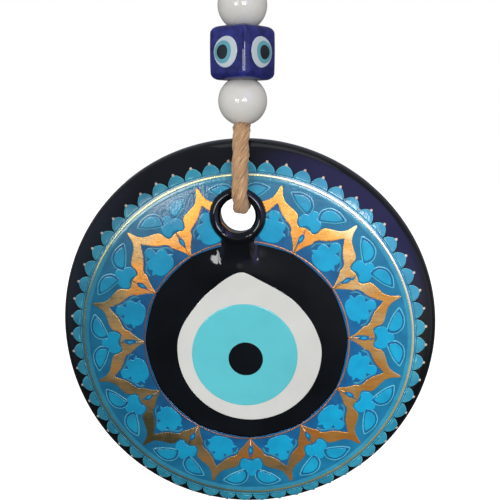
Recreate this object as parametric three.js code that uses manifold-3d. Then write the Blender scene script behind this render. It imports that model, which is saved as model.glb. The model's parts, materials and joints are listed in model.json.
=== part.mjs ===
// Evil eye wall ornament: a round glass amulet with a printed border, hung from a jute rope
// that carries two round beads and an eyed cube bead.
// Millimetres, +Z up, the amulet faces -Y, origin where the hanging loop bears on its nail.

import * as THREE from 'three';
import { mergeVertices } from 'three/addons/utils/BufferGeometryUtils.js';
import { RoundedBoxGeometry } from 'three/addons/geometries/RoundedBoxGeometry.js';
import Module from 'manifold-3d';

const wasm = await Module();
wasm.setup();

// ---- Driving dimensions ----
const GAP = 0.3;              // clearance between pieces that turn or are cut to fit
const GLASS_R = 65;           // widest radius of the amulet
const GLASS_T = 13;           // thickness, from flat face to flat back
const WIDEST_DEPTH = 8.5;     // depth of the widest edge behind the face
const FACE_R = 56.5;          // edge of the flat face
const BEVEL_R = 60.9;         // end of the bevel that carries the scallops
const BEVEL_DEPTH = 1.3;
const BACK_R = 60.5;
const RIM_SHIFT = { x: 0.1, z: 2.6 };   // the rim is not concentric with the print
const GLASS_SIDES = 120;

const HOLE = { x: -2.6, z: 42.4 };       // about the middle of the print
const HOLE_R = 6.2;
const HOLE_FLARE = 1.2;
const COLLAR_R = 9.2;
const COLLAR_RISE = 2.4;
const NECK_W = 12.6;
const NECK_LOW_Z = 26.5;
const NECK_TOP_Z = 35.5;
const NECK_RISE = 1.5;

const DROP = { x: 1.1, z: -4.2, r: 24.6 };        // round part of the white drop
const DROP_TIP = { x: -1.4, z: 23.6 };
const IRIS = { x: -0.4, z: -5.5, r: 18.1 };
const PUPIL = { x: 0, z: -6.7, r: 5.95 };
const WHITE_DEPTH = 2.1;
const IRIS_DEPTH = 1.4;
const PUPIL_DEPTH = 0.7;

const FILM_T = 0.3;           // print ground
const INK_T = 0.3;            // raised motifs on the ground
const EYE_FIELD = { x: 0, z: -0.9, r: 34.6 };     // bare dark glass round the eye
const FIELD_COLLAR_R = 9.6;
const LINE_INSET = 0.1;       // from the field's edge to the copper line that follows it
const LINE_W = 0.7;
const SECTORS = 12;
const SECTOR = 360 / SECTORS;
const FIRST_TIP = 12.6;       // degrees clockwise from the top
const SCALLOPS = 60;
const SCALLOP_BASE_R = 57.3;
const SCALLOP_SHOULDER_R = 59.1;
const SCALLOP_TIP_R = 60.5;
const RING_INNER_R = 55.4;
const RING_OUTER_R = 56.3;

const CORD_R = 2.5;            // the rope's firm core, inside its loose fibres
const CORD_SIDES = 10;
const CORE_R = 3.8;           // both strands pressed together inside the beads
const BORE_R = 4.1;
const STRAND_OFFSET = 2.95;   // half the spacing of the two strands where they leave the beads
const BEND_R = 5.6;           // centreline bend of the rope at the hole
const BEAD_R = 8;
const BEAD_HALF = 6.3;
const BEAD_LIP_R = 4.93;
const CUBE_W = 15.8;
const CUBE_H = 16.7;
const CUBE_ROUND = 1.5;
const CUBE_TURN = 53;         // degrees: one edge points almost straight forward
const CUBE_EYE_R = 5.1;
const CUBE_IRIS_R = 3.3;
const CUBE_PUPIL_R = 2.4;
const CUBE_IRIS_SHIFT = 0.9;
const CUBE_INLAY_T = 0.4;
const KNOT_R = 8;
const KNOT_H = 13;
const LOOP_R = 11.5;

const RING_DROP = 170;        // middle of the print below the nail
const RING_X = 1.4;           // and to the side of the rope
const FACE_Y = -6;            // face of the amulet, before the rope's plane
const LOWER_BEAD_Z = 79.4 - RING_DROP;

// ---- Materials ----
const material = (color, roughness, metalness = 0) =>
  new THREE.MeshStandardMaterial({ color, roughness, metalness });
const darkGlass = () => material(0x0c1016, 0.08);
const whiteGlass = () => material(0xe2e1de, 0.15);
const blueGlass = () => material(0x66cfd8, 0.15);
const inkBlue = () => material(0x1f6f9c, 0.25);
const inkTeal = () => material(0x1e9fcb, 0.25);
const gold = () => material(0xd9a441, 0.3, 0.9);
const jute = () => material(0xb98d5c, 0.9);
const cobalt = () => material(0x23238a, 0.1);

// ---- Shape helpers ----
const object = new THREE.Group();
const disc = new THREE.Group();
disc.position.set(RING_X, FACE_Y, -RING_DROP);
object.add(disc);

const radians = (degrees) => degrees * Math.PI / 180;

// A point in the face plane from a radius and an angle clockwise from the top.
function polar(r, degrees) {
  return new THREE.Vector2(r * Math.sin(radians(degrees)), r * Math.cos(radians(degrees)));
}

function addMesh(parent, name, geometry, look) {
  const mesh = new THREE.Mesh(geometry, look);
  mesh.name = name;
  parent.add(mesh);
  return mesh;
}

// Extrudes an outline drawn in the X-Z plane between two depths along Y.
function slab(shape, yFront, yBack, curveSegments = 12) {
  const depth = yBack - yFront;
  const geometry = new THREE.ExtrudeGeometry(shape, { depth, bevelEnabled: false, curveSegments });
  geometry.rotateX(Math.PI / 2);
  geometry.translate(0, yBack, 0);
  return geometry;
}

function circle(x, z, r) {
  return new THREE.Shape().absarc(x, z, r, 0, 2 * Math.PI, false);
}

// Revolves a closed profile of [radius, y] pairs about the Y axis.
function revolve(profile, sides) {
  const points = profile.map(([r, y]) => new THREE.Vector2(r, y));
  return outward(new THREE.LatheGeometry(points, sides));
}

function outward(geometry) {
  const position = geometry.attributes.position;
  const index = geometry.index.array;
  const [a, b, c] = [new THREE.Vector3(), new THREE.Vector3(), new THREE.Vector3()];
  let volume = 0;
  for (let i = 0; i < index.length; i += 3) {
    a.fromBufferAttribute(position, index[i]);
    b.fromBufferAttribute(position, index[i + 1]);
    c.fromBufferAttribute(position, index[i + 2]);
    volume += a.dot(b.cross(c));
  }
  if (volume < 0) index.reverse();
  return geometry;
}

function toSolid(geometry) {
  const bare = geometry.clone();
  bare.deleteAttribute('normal');
  bare.deleteAttribute('uv');
  const merged = mergeVertices(bare, 1e-4);
  const vertProperties = new Float32Array(merged.attributes.position.array);
  const corners = merged.index.array;
  const kept = [];
  for (let i = 0; i < corners.length; i += 3) {
    const [a, b, c] = [corners[i], corners[i + 1], corners[i + 2]];
    if (a !== b && b !== c && c !== a) kept.push(a, b, c);
  }
  const mesh = new wasm.Mesh({ numProp: 3, vertProperties, triVerts: new Uint32Array(kept) });
  return new wasm.Manifold(mesh);
}

function toGeometry(solid) {
  const mesh = solid.getMesh();
  const geometry = new THREE.BufferGeometry();
  const position = new THREE.BufferAttribute(new Float32Array(mesh.vertProperties), 3);
  geometry.setAttribute('position', position);
  geometry.setIndex(new THREE.BufferAttribute(new Uint32Array(mesh.triVerts), 1));
  geometry.computeVertexNormals();
  return geometry;
}

// ---- Eye: a white drop, a pale blue iris and a dark pupil, inlaid flush in the face ----
// `grow` widens the outline evenly, for the pocket that the inlay sits in.
function dropShape(grow) {
  const shape = new THREE.Shape();
  const r = DROP.r + grow;
  const right = radians(14);
  const left = radians(156);
  const tip = DROP_TIP.z + 1.4 * grow;
  shape.moveTo(DROP_TIP.x, tip);
  shape.bezierCurveTo(
    DROP_TIP.x + 5 + grow, tip - 1.2,
    DROP.x + r * 0.82, DROP.z + r * 0.82,
    DROP.x + r * Math.cos(right), DROP.z + r * Math.sin(right));
  shape.absarc(DROP.x, DROP.z, r, right, left, true);
  shape.bezierCurveTo(
    DROP.x - r * 0.76, DROP.z + r * 0.66,
    DROP_TIP.x - 5 - grow, tip - 1.4,
    DROP_TIP.x, tip);
  return shape;
}

function addEye() {
  const white = toSolid(slab(dropShape(0), 0, WHITE_DEPTH))
    .subtract(toSolid(slab(circle(IRIS.x, IRIS.z, IRIS.r + GAP), -1, IRIS_DEPTH, 24)));
  const iris = toSolid(slab(circle(IRIS.x, IRIS.z, IRIS.r), 0, IRIS_DEPTH, 24))
    .subtract(toSolid(slab(circle(PUPIL.x, PUPIL.z, PUPIL.r + GAP), -1, PUPIL_DEPTH, 16)));
  addMesh(disc, 'eye_white', toGeometry(white), whiteGlass());
  addMesh(disc, 'eye_iris', toGeometry(iris), blueGlass());
  addMesh(disc, 'eye_pupil', slab(circle(PUPIL.x, PUPIL.z, PUPIL.r), 0, PUPIL_DEPTH, 16), darkGlass());
}

// ---- Glass amulet ----
const rimProfile = [
  [0, 0],
  [FACE_R, 0],
  [BEVEL_R, BEVEL_DEPTH],
  [62.7, 3],
  [64.3, 5.4],
  [GLASS_R, WIDEST_DEPTH],
  [64.4, 10.9],
  [62.9, 12.4],
  [BACK_R, GLASS_T],
  [0, GLASS_T],
];

// Moves the part of the body outside the bevel, so that the rim is eccentric to the face.
function shiftRim(geometry) {
  const position = geometry.attributes.position;
  for (let i = 0; i < position.count; i += 1) {
    const past = position.getY(i) > BEVEL_DEPTH + 0.01 ? 1 : 0;
    position.setX(i, position.getX(i) + RIM_SHIFT.x * past);
    position.setZ(i, position.getZ(i) + RIM_SHIFT.z * past);
  }
  return geometry;
}

function addGlass() {
  const bury = 3;
  const collarProfile = [
    [HOLE_R - 1, bury],
    [HOLE_R - 1, -0.3],
    [HOLE_R + 0.4, -1.4],
    [HOLE_R + 1.2, 0.1 - COLLAR_RISE],
    [HOLE_R + 2.0, -COLLAR_RISE],
    [COLLAR_R - 0.4, -1.9],
    [COLLAR_R, -0.8],
    [COLLAR_R, bury],
    [HOLE_R - 1, bury],
  ];
  const collar = revolve(collarProfile, 36);
  collar.translate(HOLE.x, 0, HOLE.z);

  const boreProfile = [
    [0, -COLLAR_RISE - 1],
    [HOLE_R, -COLLAR_RISE - 1],
    [HOLE_R, GLASS_T - HOLE_FLARE],
    [HOLE_R + HOLE_FLARE, GLASS_T],
    [HOLE_R + HOLE_FLARE, GLASS_T + 1],
    [0, GLASS_T + 1],
  ];
  const bore = revolve(boreProfile, 36);
  bore.translate(HOLE.x, 0, HOLE.z);

  // A low ramp carries the collar down into the face above the eye.
  const ramp = new THREE.Shape()
    .moveTo(NECK_LOW_Z, 1)
    .lineTo(NECK_LOW_Z, 0)
    .lineTo(NECK_TOP_Z, -NECK_RISE)
    .lineTo(NECK_TOP_Z, 1);
  const neck = new THREE.ExtrudeGeometry(ramp, { depth: NECK_W, bevelEnabled: false });
  neck.rotateY(-Math.PI / 2);
  neck.translate(HOLE.x + NECK_W / 2, 0, 0);

  const body = toSolid(shiftRim(revolve(rimProfile, GLASS_SIDES)))
    .add(toSolid(collar))
    .add(toSolid(neck))
    .subtract(toSolid(bore))
    .subtract(toSolid(slab(dropShape(GAP), -1, WHITE_DEPTH)));
  addMesh(disc, 'glass_body', toGeometry(body), darkGlass());
}

// ---- Print: a ground film with raised gold and teal motifs, open round the eye and the hole ----
const FILM_Y = -FILM_T;
const INK_Y = -FILM_T - INK_T;

// The bare keyhole of dark glass: the round field, the neck and the collar.
function keyholeSolid(grow) {
  const halfNeck = NECK_W / 2 + grow;
  const neck = new THREE.Shape()
    .moveTo(HOLE.x - halfNeck, NECK_LOW_Z)
    .lineTo(HOLE.x + halfNeck, NECK_LOW_Z)
    .lineTo(HOLE.x + halfNeck, HOLE.z)
    .lineTo(HOLE.x - halfNeck, HOLE.z);
  return toSolid(slab(circle(EYE_FIELD.x, EYE_FIELD.z, EYE_FIELD.r + grow), -3, 3, 36))
    .add(toSolid(slab(circle(HOLE.x, HOLE.z, FIELD_COLLAR_R + grow), -3, 3, 18)))
    .add(toSolid(slab(neck, -3, 3)));
}

const filmCut = keyholeSolid(0);
const lineCut = keyholeSolid(LINE_INSET);
const motifCut = keyholeSolid(LINE_INSET + LINE_W + GAP);

function addInk(name, shape, look, cut = motifCut, curveSegments = 6) {
  const motif = toSolid(slab(shape, INK_Y, FILM_Y, curveSegments));
  addMesh(disc, name, toGeometry(motif.subtract(cut)), look);
}

// Points given for one side of an axis of symmetry, mirrored to the other side.
function mirrored(side) {
  const other = side.filter(([angle]) => angle !== 0).map(([angle, r]) => [-angle, r]);
  return [...side, ...other.reverse()];
}

function outline(points, centreAngle) {
  return new THREE.Shape(points.map(([angle, r]) => polar(r, centreAngle + angle)));
}

function addFilm() {
  const film = toSolid(slab(circle(0, 0, FACE_R - 0.2), FILM_Y, 0, GLASS_SIDES / 4));
  addMesh(disc, 'print_film', toGeometry(film.subtract(filmCut)), inkBlue());
}

function addGoldRing() {
  const ring = circle(0, 0, RING_OUTER_R);
  ring.holes.push(new THREE.Path().absarc(0, 0, RING_INNER_R, 0, 2 * Math.PI, true));
  addMesh(disc, 'gold_ring', slab(ring, INK_Y, FILM_Y, 30), gold());
}

// The copper line that follows the round field, open at the neck.
function addFieldLine() {
  const band = circle(EYE_FIELD.x, EYE_FIELD.z, EYE_FIELD.r + LINE_INSET + LINE_W);
  addInk('gold_field_line', band, gold(), lineCut, 36);
}

// A twelve-pointed ribbon: arches with keel-shaped tips, meeting in a V between the flowers.
function addGoldStar() {
  const outer = [[0, 53.8], [0.9, 52.2], [1.8, 49.8], [4.4, 48.2], [8.4, 46.9], [9.6, 45.7], [10.9, 42.3]];
  const inner = [[0, 47.7], [4, 43.9], [8.6, 41.2], [10.2, 39.8], [13.6, 37.2]];
  const ring = (side) => {
    const points = [];
    for (let k = 0; k < SECTORS; k += 1) {
      const tip = FIRST_TIP + k * SECTOR;
      points.push(...side.slice(1).reverse().map(([angle, r]) => polar(r, tip - angle)));
      points.push(...side.map(([angle, r]) => polar(r, tip + angle)));
    }
    return points;
  };
  const ribbon = new THREE.Shape(ring(outer));
  ribbon.holes.push(new THREE.Path(ring(inner).reverse()));
  addInk('gold_star', ribbon, gold());
}

function addPalmettes() {
  const flower = mirrored([
    [0, 44.2], [1.7, 43.7], [2.6, 42.4], [3.0, 41.3], [5.4, 41.0], [6.5, 39.8], [6.1, 38.4],
    [7.6, 37.1], [6.0, 36.6], [4.6, 36.0], [0, 35.9],
  ]);
  for (let k = 0; k < SECTORS; k += 1) {
    const name = `palmette_${String(k + 1).padStart(2, '0')}`;
    addInk(name, outline(flower, FIRST_TIP + k * SECTOR), inkTeal());
  }
}

// Between two arches: a trefoil with a curling stem and a leaf on each side.
function addTrefoils() {
  const leafSide = [
    [1.9, 47.6], [3.3, 48.3], [3.0, 50.4], [4.8, 52.6], [8, 53.3], [10.4, 52.6], [9.8, 50.4],
    [7.4, 48.9], [4.8, 48.0], [2.6, 47.1],
  ];
  const trefoil = mirrored([
    [0, 49.2], [1.6, 48.7], ...leafSide, [4.2, 46.5], [4.5, 45.2], [3.6, 43.4], [2.0, 43.0], [0, 43.6],
  ]);
  for (let k = 1; k < SECTORS; k += 1) {
    const name = `trefoil_${String(k).padStart(2, '0')}`;
    addInk(name, outline(trefoil, FIRST_TIP + (k - 0.5) * SECTOR), inkTeal());
  }
  const underCollar = FIRST_TIP - 0.5 * SECTOR;
  const leaf = leafSide.slice(2, 8);
  const otherLeaf = leaf.map(([angle, r]) => [-angle, r]);
  addInk('leaf_right_of_cord', outline(leaf, underCollar), inkTeal());
  addInk('leaf_left_of_cord', outline(otherLeaf.reverse(), underCollar), inkTeal());
}

// A ring of small domes on the bevel, cut from a thin skin that follows the bevel's slope.
function addScallops() {
  const lift = 0.1;
  const slope = BEVEL_DEPTH / (BEVEL_R - FACE_R);
  const start = FACE_R + 0.1;
  const depthAt = (r) => (r - FACE_R) * slope - lift;
  const skin = revolve([
    [start, depthAt(start)],
    [BEVEL_R, depthAt(BEVEL_R)],
    [BEVEL_R, depthAt(BEVEL_R) - INK_T],
    [start, depthAt(start) - INK_T],
    [start, depthAt(start)],
  ], GLASS_SIDES);
  const points = [];
  const pitch = 360 / SCALLOPS;
  for (let k = 0; k < SCALLOPS; k += 1) {
    const middle = FIRST_TIP + k * pitch;
    points.push(polar(SCALLOP_BASE_R, middle - pitch / 2));
    points.push(polar(SCALLOP_SHOULDER_R, middle - pitch / 4));
    points.push(polar(SCALLOP_TIP_R, middle));
    points.push(polar(SCALLOP_SHOULDER_R, middle + pitch / 4));
  }
  const border = toSolid(skin).intersect(toSolid(slab(new THREE.Shape(points), -2, 3)));
  addMesh(disc, 'scallop_border', toGeometry(border), inkTeal());
}

// ---- Rope: one length of jute, doubled through the hole, the beads and the knot ----
function tube(points, r) {
  const path = new THREE.CatmullRomCurve3(points, false, 'centripetal');
  const steps = points.length * 2;
  const section = new THREE.Shape();
  for (let i = 0; i < CORD_SIDES; i += 1) {
    const angle = i * 2 * Math.PI / CORD_SIDES;
    if (i === 0) section.moveTo(r, 0);
    else section.lineTo(r * Math.cos(angle), r * Math.sin(angle));
  }
  return new THREE.ExtrudeGeometry(section, { steps, bevelEnabled: false, extrudePath: path });
}

// Heights here are above the middle of the print.
function ropePoint(x, y, height) {
  return new THREE.Vector3(x, y, height - RING_DROP);
}

function addSling() {
  const runZ = HOLE.z + HOLE_R - GAP - CORD_R;
  const bendZ = runZ + BEND_R;
  const frontY = FACE_Y - 0.45;
  const backY = FACE_Y + GLASS_T - 1.4;
  const points = [
    [-STRAND_OFFSET, 72.4], [-3.1, 71.3], [-4.6, 68.8], [-6.8, 65.2], [-8.9, 61.3], [-10.8, 57.2],
  ];
  for (let i = 0; i <= 4; i += 1) {
    const angle = i * Math.PI / 8;
    points.push([frontY - BEND_R * Math.cos(angle), bendZ - BEND_R * Math.sin(angle)]);
  }
  for (let i = 0; i <= 4; i += 1) {
    const angle = i * Math.PI / 8;
    points.push([backY + BEND_R * Math.sin(angle), bendZ - BEND_R * Math.cos(angle)]);
  }
  points.push([11.1, 56], [11.2, 60.5], [10.8, 65], [9, 68.9], [5.6, 70.5], [3.4, 71.2]);
  points.push([STRAND_OFFSET, 72.4]);
  const route = points.map(([y, height]) => ropePoint(0, y, height));
  addMesh(object, 'cord_sling', tube(route, CORD_R), jute());
}

const stackTop = LOWER_BEAD_Z + 2 * GAP + 3 * BEAD_HALF + CUBE_H;

function addCore() {
  const low = LOWER_BEAD_Z - BEAD_HALF + 0.1;
  const core = slab(circle(0, 0, CORE_R), 0, stackTop - low, 3);
  core.rotateX(-Math.PI / 2);
  core.translate(0, 0, stackTop);
  addMesh(object, 'cord_core', core, jute());
}

function addKnot() {
  const profile = [
    [0, 0], [4.6, 0], [7, 2.2], [KNOT_R, 5.4], [7.6, 8.8], [5.6, 11.8], [4.4, KNOT_H], [0, KNOT_H],
  ];
  const knot = revolve(profile, 20);
  knot.rotateX(Math.PI / 2);
  knot.translate(0, 0, stackTop + GAP);
  addMesh(object, 'knot', knot, jute());
}

function addHangingLoop() {
  const low = stackTop + 4 * GAP + KNOT_H;
  const topZ = CORD_R - LOOP_R;
  const side = [
    [STRAND_OFFSET, low], [4.2, low + 4.5], [7.4, low + 12], [10.2, low + 20],
  ];
  const points = side.map(([x, z]) => new THREE.Vector3(-x, 0, z));
  for (let i = 0; i <= 8; i += 1) {
    const angle = Math.PI - i * Math.PI / 8;
    points.push(new THREE.Vector3(LOOP_R * Math.cos(angle), 0, topZ + LOOP_R * Math.sin(angle)));
  }
  points.push(...side.reverse().map(([x, z]) => new THREE.Vector3(x, 0, z)));
  addMesh(object, 'hanging_loop', tube(points, CORD_R), jute());
}

// ---- Beads ----
function addRoundBead(name, z) {
  const profile = [[BORE_R, -BEAD_HALF + 0.5], [BEAD_LIP_R, -BEAD_HALF]];
  const lipAngle = Math.asin(BEAD_HALF / BEAD_R);
  for (let i = 1; i <= 9; i += 1) {
    const angle = -lipAngle + i * lipAngle / 5;
    profile.push([BEAD_R * Math.cos(angle), BEAD_R * Math.sin(angle)]);
  }
  profile.push([BEAD_LIP_R, BEAD_HALF], [BORE_R, BEAD_HALF - 0.5], [BORE_R, -BEAD_HALF + 0.5]);
  const bead = revolve(profile, 24);
  bead.rotateX(Math.PI / 2);
  const mesh = addMesh(object, name, bead, whiteGlass());
  mesh.position.z = z;
}

function addCubeBead() {
  const cube = new THREE.Group();
  cube.position.z = LOWER_BEAD_Z + BEAD_HALF + GAP + CUBE_H / 2;
  cube.rotation.z = radians(CUBE_TURN);
  object.add(cube);

  const bore = slab(circle(0, 0, BORE_R), -CUBE_H, CUBE_H, 6);
  bore.rotateX(Math.PI / 2);
  const block = toSolid(new RoundedBoxGeometry(CUBE_W, CUBE_W, CUBE_H, 2, CUBE_ROUND));
  addMesh(cube, 'cube_bead', toGeometry(block.subtract(toSolid(bore))), cobalt());

  const faceY = -CUBE_W / 2;
  for (let k = 0; k < 4; k += 1) {
    const face = new THREE.Group();
    face.rotation.z = k * Math.PI / 2;
    cube.add(face);
    const shift = k % 2 ? -CUBE_IRIS_SHIFT : CUBE_IRIS_SHIFT;
    const layer = (name, x, r, level, look) => {
      const yBack = faceY - level * CUBE_INLAY_T;
      addMesh(face, `${name}_${k + 1}`, slab(circle(x, 0, r), yBack - CUBE_INLAY_T, yBack, 6), look);
    };
    layer('cube_eye_white', 0, CUBE_EYE_R, 0, whiteGlass());
    layer('cube_eye_iris', shift, CUBE_IRIS_R, 1, blueGlass());
    layer('cube_eye_pupil', shift * 1.2, CUBE_PUPIL_R, 2, darkGlass());
  }
}

addGlass();
addEye();
addFilm();
addGoldRing();
addFieldLine();
addGoldStar();
addPalmettes();
addTrefoils();
addScallops();
addSling();
addCore();
addKnot();
addHangingLoop();
addRoundBead('lower_bead', LOWER_BEAD_Z);
addRoundBead('upper_bead', stackTop - BEAD_HALF);
addCubeBead();

export default object;
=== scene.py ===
"""Evil eye wall ornament: the looks of a round glass amulet with a printed border, hung on jute."""
import json
import math

import bpy
import numpy as np
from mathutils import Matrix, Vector
from mathutils.geometry import delaunay_2d_cdt


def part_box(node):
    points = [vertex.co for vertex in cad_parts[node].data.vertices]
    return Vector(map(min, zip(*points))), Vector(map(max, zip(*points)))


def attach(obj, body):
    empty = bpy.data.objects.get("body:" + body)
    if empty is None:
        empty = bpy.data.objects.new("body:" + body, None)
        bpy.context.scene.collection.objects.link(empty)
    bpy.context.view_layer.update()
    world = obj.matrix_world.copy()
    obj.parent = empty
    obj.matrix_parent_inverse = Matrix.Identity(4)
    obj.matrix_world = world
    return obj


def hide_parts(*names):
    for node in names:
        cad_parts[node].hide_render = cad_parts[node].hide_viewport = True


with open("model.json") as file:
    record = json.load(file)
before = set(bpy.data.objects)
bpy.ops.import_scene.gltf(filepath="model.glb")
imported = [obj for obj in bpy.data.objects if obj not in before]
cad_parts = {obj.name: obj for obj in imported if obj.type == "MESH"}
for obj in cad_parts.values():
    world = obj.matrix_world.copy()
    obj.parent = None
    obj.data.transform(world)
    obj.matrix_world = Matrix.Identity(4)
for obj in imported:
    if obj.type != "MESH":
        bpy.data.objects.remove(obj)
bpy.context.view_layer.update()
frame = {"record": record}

MM = 0.001

# ---- Places taken from the frame ----


def middle(node):
    """The middle of a CAD node's box, in metres."""
    low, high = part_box(node)
    return [(a + b) / 2 for a, b in zip(low, high)]


JOINTS = {joint["name"]: joint for joint in frame["record"]["behaviour"]["joints"]}
PRINT_X, _, PRINT_Z = middle("gold_ring")
FACE_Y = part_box("print_film")[1][1]
HOLE_X, _, HOLE_Z = [v / MM for v in JOINTS["amulet_swing"]["pos_m"]]
HOLE_X -= PRINT_X / MM
HOLE_Z -= PRINT_Z / MM

# Sizes in millimetres, in the amulet's own plane: x to the right and z up from the print's middle,
# y the depth behind the flat face. Turns are in degrees.
GLASS_R = 64.7
GLASS_T = 13.0
RIM_X, RIM_Z = -0.3, 2.6
RIM_OVAL, RIM_OVAL_TURN = 0.2, 145
RIM_LOBES, RIM_LOBES_TURN = 0.25, 15
WIDEST = 8.5
RIM_ROUND = 5.5
RIDGE_R = 55.9
RIDGE_SOFT = 0.6
BEVEL_SLOPE = 0.3
CROWN = 0.5
COLLAR_MID_R = 7.6
COLLAR_HALF_W = 1.8
COLLAR_RISE = 2.45
NECK_RISE = 1.9
NECK_HALF_W, NECK_FLANK = 3.6, 2.9
NECK_FOOT_Z, NECK_FOOT = 25.5, 10
RIM_BLEND, COLLAR_BLEND = 1.4, 0.9
BORE_R = 6.6
BACK_ROUND = GLASS_T - WIDEST
COUNTERSINK = 2.4
FIELD_Z, FIELD_R = -0.9, 34.6
PRINT_OUTER_R = 57.3
BAND_R, FOIL_R, FOIL_OUTER_R = 54.1, 55.5, 56.3
FIRST_TIP = 12.6
SECTORS = 12
SECTOR = 360 / SECTORS
SCALLOPS = 60


def smooth_max(a, b, k):
    """The larger of two values, blended over a width k where they meet."""
    return (a + b + np.sqrt((a - b) ** 2 + k * k) - k) / 2


def smooth_step(t):
    """Eases from 0 to 1."""
    t = np.clip(t, 0, 1)
    return t * t * (3 - 2 * t)


def rim_radius(angle):
    """The rim's slightly uneven radius; the angle in radians runs anticlockwise from the right."""
    oval = RIM_OVAL * np.cos(2 * angle - math.radians(RIM_OVAL_TURN))
    lobes = RIM_LOBES * np.cos(3 * angle - math.radians(RIM_LOBES_TURN))
    return GLASS_R + oval + lobes


def face_depth(x, z):
    """Depth of the amulet's printed face, its bevel and the front of its rim."""
    r = np.hypot(x, z)
    crown = -CROWN * np.clip(1 - (r / RIDGE_R) ** 2, 0, None)
    bevel = BEVEL_SLOPE * RIDGE_SOFT * np.logaddexp(0, (r - RIDGE_R) / RIDGE_SOFT)
    edge = rim_radius(np.arctan2(z - RIM_Z, x - RIM_X)) - np.hypot(x - RIM_X, z - RIM_Z)
    t = np.clip(1 - edge / RIM_ROUND, 0, 1)
    rim = WIDEST * (1 - np.sqrt(1 - t * t))
    return crown + smooth_max(bevel, rim, RIM_BLEND)


def glass_depth(x, z):
    """The face with the collar round the hole and the neck that carries it down to the eye."""
    side = 1 - smooth_step((np.abs(x - HOLE_X) - NECK_HALF_W) / NECK_FLANK)
    rise = smooth_step((z - NECK_FOOT_Z) / NECK_FOOT) * (1 - smooth_step((z - HOLE_Z) / 3))
    swell = np.exp(-((z - 24) / 5) ** 2 - ((x - HOLE_X) / 9) ** 2)
    face = face_depth(x, z) - NECK_RISE * side * rise - swell
    t = (np.hypot(x - HOLE_X, z - HOLE_Z) - COLLAR_MID_R) / COLLAR_HALF_W
    crest = -COLLAR_RISE * np.sqrt(np.clip(1 - t * t, 0, None)) + np.clip(t - 1, 0, None) * 9
    return -smooth_max(-face, -crest, COLLAR_BLEND)


def to_world(x, y, z):
    """Points in metres from the amulet's own plane in millimetres."""
    return np.column_stack([PRINT_X + np.asarray(x) * MM, FACE_Y + np.asarray(y) * MM,
                            PRINT_Z + np.asarray(z) * MM])


def on_face(points, lift):
    """Points in metres that stand proud of the printed face by a lift in millimetres."""
    x, z = points[:, 0], points[:, 1]
    return to_world(x, face_depth(x, z) - lift, z)


def turns(count):
    """Angles in radians evenly round a circle."""
    return np.arange(count) * 2 * np.pi / count


def polar(r, degrees):
    """A point of the face plane, its angle measured clockwise from the top."""
    a = np.radians(degrees)
    return np.column_stack([np.asarray(r) * np.sin(a), np.asarray(r) * np.cos(a)])


# ---- Node trees ----


class Tree:
    """The node tree of a world or a material, with short ways to add and join nodes."""

    def __init__(self, owner):
        owner.use_nodes = True
        self.nodes, self.links = owner.node_tree.nodes, owner.node_tree.links

    def feed(self, socket, value):
        """Gives an input another node's output or a plain value."""
        if isinstance(value, bpy.types.NodeSocket):
            self.links.new(value, socket)
        else:
            socket.default_value = value

    def node(self, kind, *values, operation=None, **named):
        """A node fed by its inputs' order, and by name with _ for a space."""
        made = self.nodes.new(kind)
        if operation:
            made.operation = operation
        for socket, value in zip(made.inputs, values):
            self.feed(socket, value)
        for name, value in named.items():
            self.feed(made.inputs[name.replace("_", " ")], value)
        return made

    def mapped(self, source, **limits):
        """Maps a value between limits such as From_Min and To_Max, 0 and 1 where not given."""
        return self.node("ShaderNodeMapRange", source, **limits).outputs["Result"]

    def ramp(self, source, stops):
        """Colours along a value from 0 to 1."""
        made = self.node("ShaderNodeValToRGB", source)
        elements = made.color_ramp.elements
        while len(elements) < len(stops):
            elements.new(0.5)
        for element, (position, color) in zip(elements, stops):
            element.position = position
            element.color = (*color, 1)
        return made.outputs["Color"]


# ---- Camera and lights ----

# The camera's place in the sizes' own millimetres, its line of sight, and its lens.
CAMERA_PLACE = (16.8, -220.9, 71.7)
CAMERA_SIGHT = (-0.0682, 0.9811, -0.1808)
LENS, SENSOR = 49, 36
ROOM_LIGHT = 0.64
SOFTBOX_DISTANCE = 0.62
SOFTBOX_SLATS = 3
SLAT_FILL = 0.72


def add_camera():
    data = bpy.data.cameras.new("camera")
    data.lens = LENS
    data.sensor_width = SENSOR
    data.clip_start = 0.01
    camera = bpy.data.objects.new("camera", data)
    bpy.context.collection.objects.link(camera)
    camera.location = to_world(*([v] for v in CAMERA_PLACE))[0]
    camera.rotation_euler = Vector(CAMERA_SIGHT).to_track_quat("-Z", "Y").to_euler()
    bpy.context.scene.camera = camera


def towards(azimuth, elevation):
    """The direction seen from the amulet at an angle in degrees to the right and up."""
    a, e = math.radians(azimuth), math.radians(elevation)
    return math.sin(a) * math.cos(e), -math.cos(a) * math.cos(e), math.sin(e)


# Soft patches of light round the object: azimuth to the right and elevation in degrees as the
# amulet sees them, radius in degrees, colour.
GLOWS = [
    (30, 17, 34, (0.5, 0.45, 1.75)),
    (-3, -1, 6, (0.6, 0.64, 0.68)),
    (36, -14, 22, (0.42, 0.38, 0.34)),
    (9, -8, 14, (0.16, 0.16, 0.17)),
    (-60, 2, 34, (0.14, 0.2, 0.34)),
    (70, -4, 28, (0.36, 0.38, 0.45)),
]


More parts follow.
